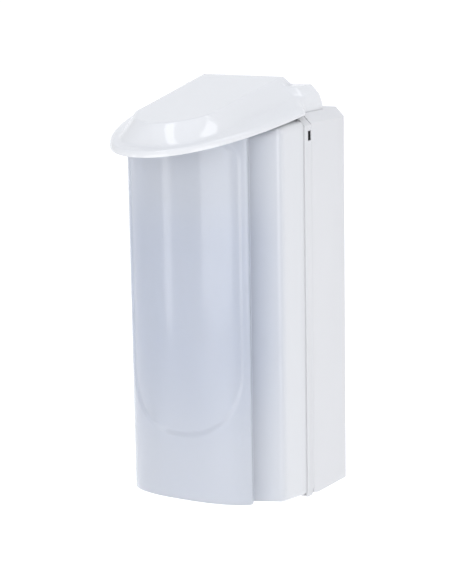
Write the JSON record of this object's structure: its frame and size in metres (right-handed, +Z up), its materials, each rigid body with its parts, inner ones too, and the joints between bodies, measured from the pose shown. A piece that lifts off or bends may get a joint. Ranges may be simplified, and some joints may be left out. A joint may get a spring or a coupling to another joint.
{
  "type": "dog waste bin",
  "caption": "Wall-mounted dog waste bin: chamfered wall housing, milky bulging container that tilts forward, lift-out bucket inside and a self-closing glossy hood lid.",
  "frame": {"origin": "centre of the housing's flat rear face, where it meets the wall", "axes": "+Y into the wall, +Z up, +X to the right for a person who faces the bin"},
  "size_m": [0.1852, 0.2537, 0.4344],
  "materials": {
    "satin_white": "fine satin moulded white plastic",
    "gloss_white": "glossy moulded white plastic",
    "milky": "milky translucent plastic with a satin outside",
    "bucket_grey": "matt blue-grey moulded plastic",
    "latch_dark": "matt black moulded plastic",
    "bright_steel": "bright drawn steel",
    "screw_steel": "zinc-plated steel"
  },
  "bodies": {
    "housing": {"wall_housing": "satin_white", "rod_bracket_left": "satin_white", "rod_bracket_right": "satin_white", "tilt_rod": "bright_steel", "catch_plate_left": "bright_steel", "catch_plate_right": "bright_steel", "hinge_leaf_housing": "bright_steel", "hinge_pin": "bright_steel", "bracket_screw_1": "screw_steel", "bracket_screw_2": "screw_steel", "catch_screw_left_1": "screw_steel", "catch_screw_left_2": "screw_steel", "catch_screw_right_1": "screw_steel", "catch_screw_right_2": "screw_steel", "housing_leaf_screw_1": "screw_steel", "housing_leaf_screw_2": "screw_steel", "housing_leaf_screw_3": "screw_steel"},
    "lid": {"lid_shell": "gloss_white", "hinge_leaf_lid": "bright_steel", "lid_leaf_screw_1": "screw_steel", "lid_leaf_screw_2": "screw_steel", "lid_leaf_screw_3": "screw_steel"},
    "container": {"container_shell": "milky", "container_frame": "satin_white", "tilt_hook_left": "satin_white", "tilt_hook_right": "satin_white", "liner_bucket": "bucket_grey", "bag_ring": "bright_steel", "handle_stud_left": "bright_steel", "handle_stud_right": "bright_steel", "latch_spring_left": "bright_steel", "latch_spring_right": "bright_steel", "hook_screw_1": "screw_steel", "hook_screw_2": "screw_steel", "hook_screw_3": "screw_steel", "hook_screw_4": "screw_steel"},
    "handle": {"bucket_handle": "bright_steel"},
    "latch_left": {"latch_button_left": "latch_dark"},
    "latch_right": {"latch_button_right": "latch_dark"}
  },
  "joints": [
    {"name": "lid_hinge", "type": "hinge", "parent": "housing", "child": "lid", "pos_m": [0, -0.0195, 0.2046], "axis": [-1, 0, 0], "range_deg": [0, 66]},
    {"name": "container_tilt", "type": "hinge", "parent": "housing", "child": "container", "pos_m": [0, -0.0625, -0.193], "axis": [1, 0, 0], "range_deg": [0, 25]},
    {"name": "bucket_handle_hinge", "type": "hinge", "parent": "container", "child": "handle", "pos_m": [0, -0.128, 0.115], "axis": [-1, 0, 0], "range_deg": [0, 180]},
    {"name": "latch_left_push", "type": "slide", "parent": "container", "child": "latch_left", "axis": [1, 0, 0], "range_m": [0, 0.002], "stiffness_N_per_m": 600, "springref_m": -0.002, "deforming": ["latch_spring_left"]},
    {"name": "latch_right_push", "type": "slide", "parent": "container", "child": "latch_right", "axis": [-1, 0, 0], "range_m": [0, 0.002], "stiffness_N_per_m": 600, "springref_m": -0.002, "deforming": ["latch_spring_right"]}
  ]
}
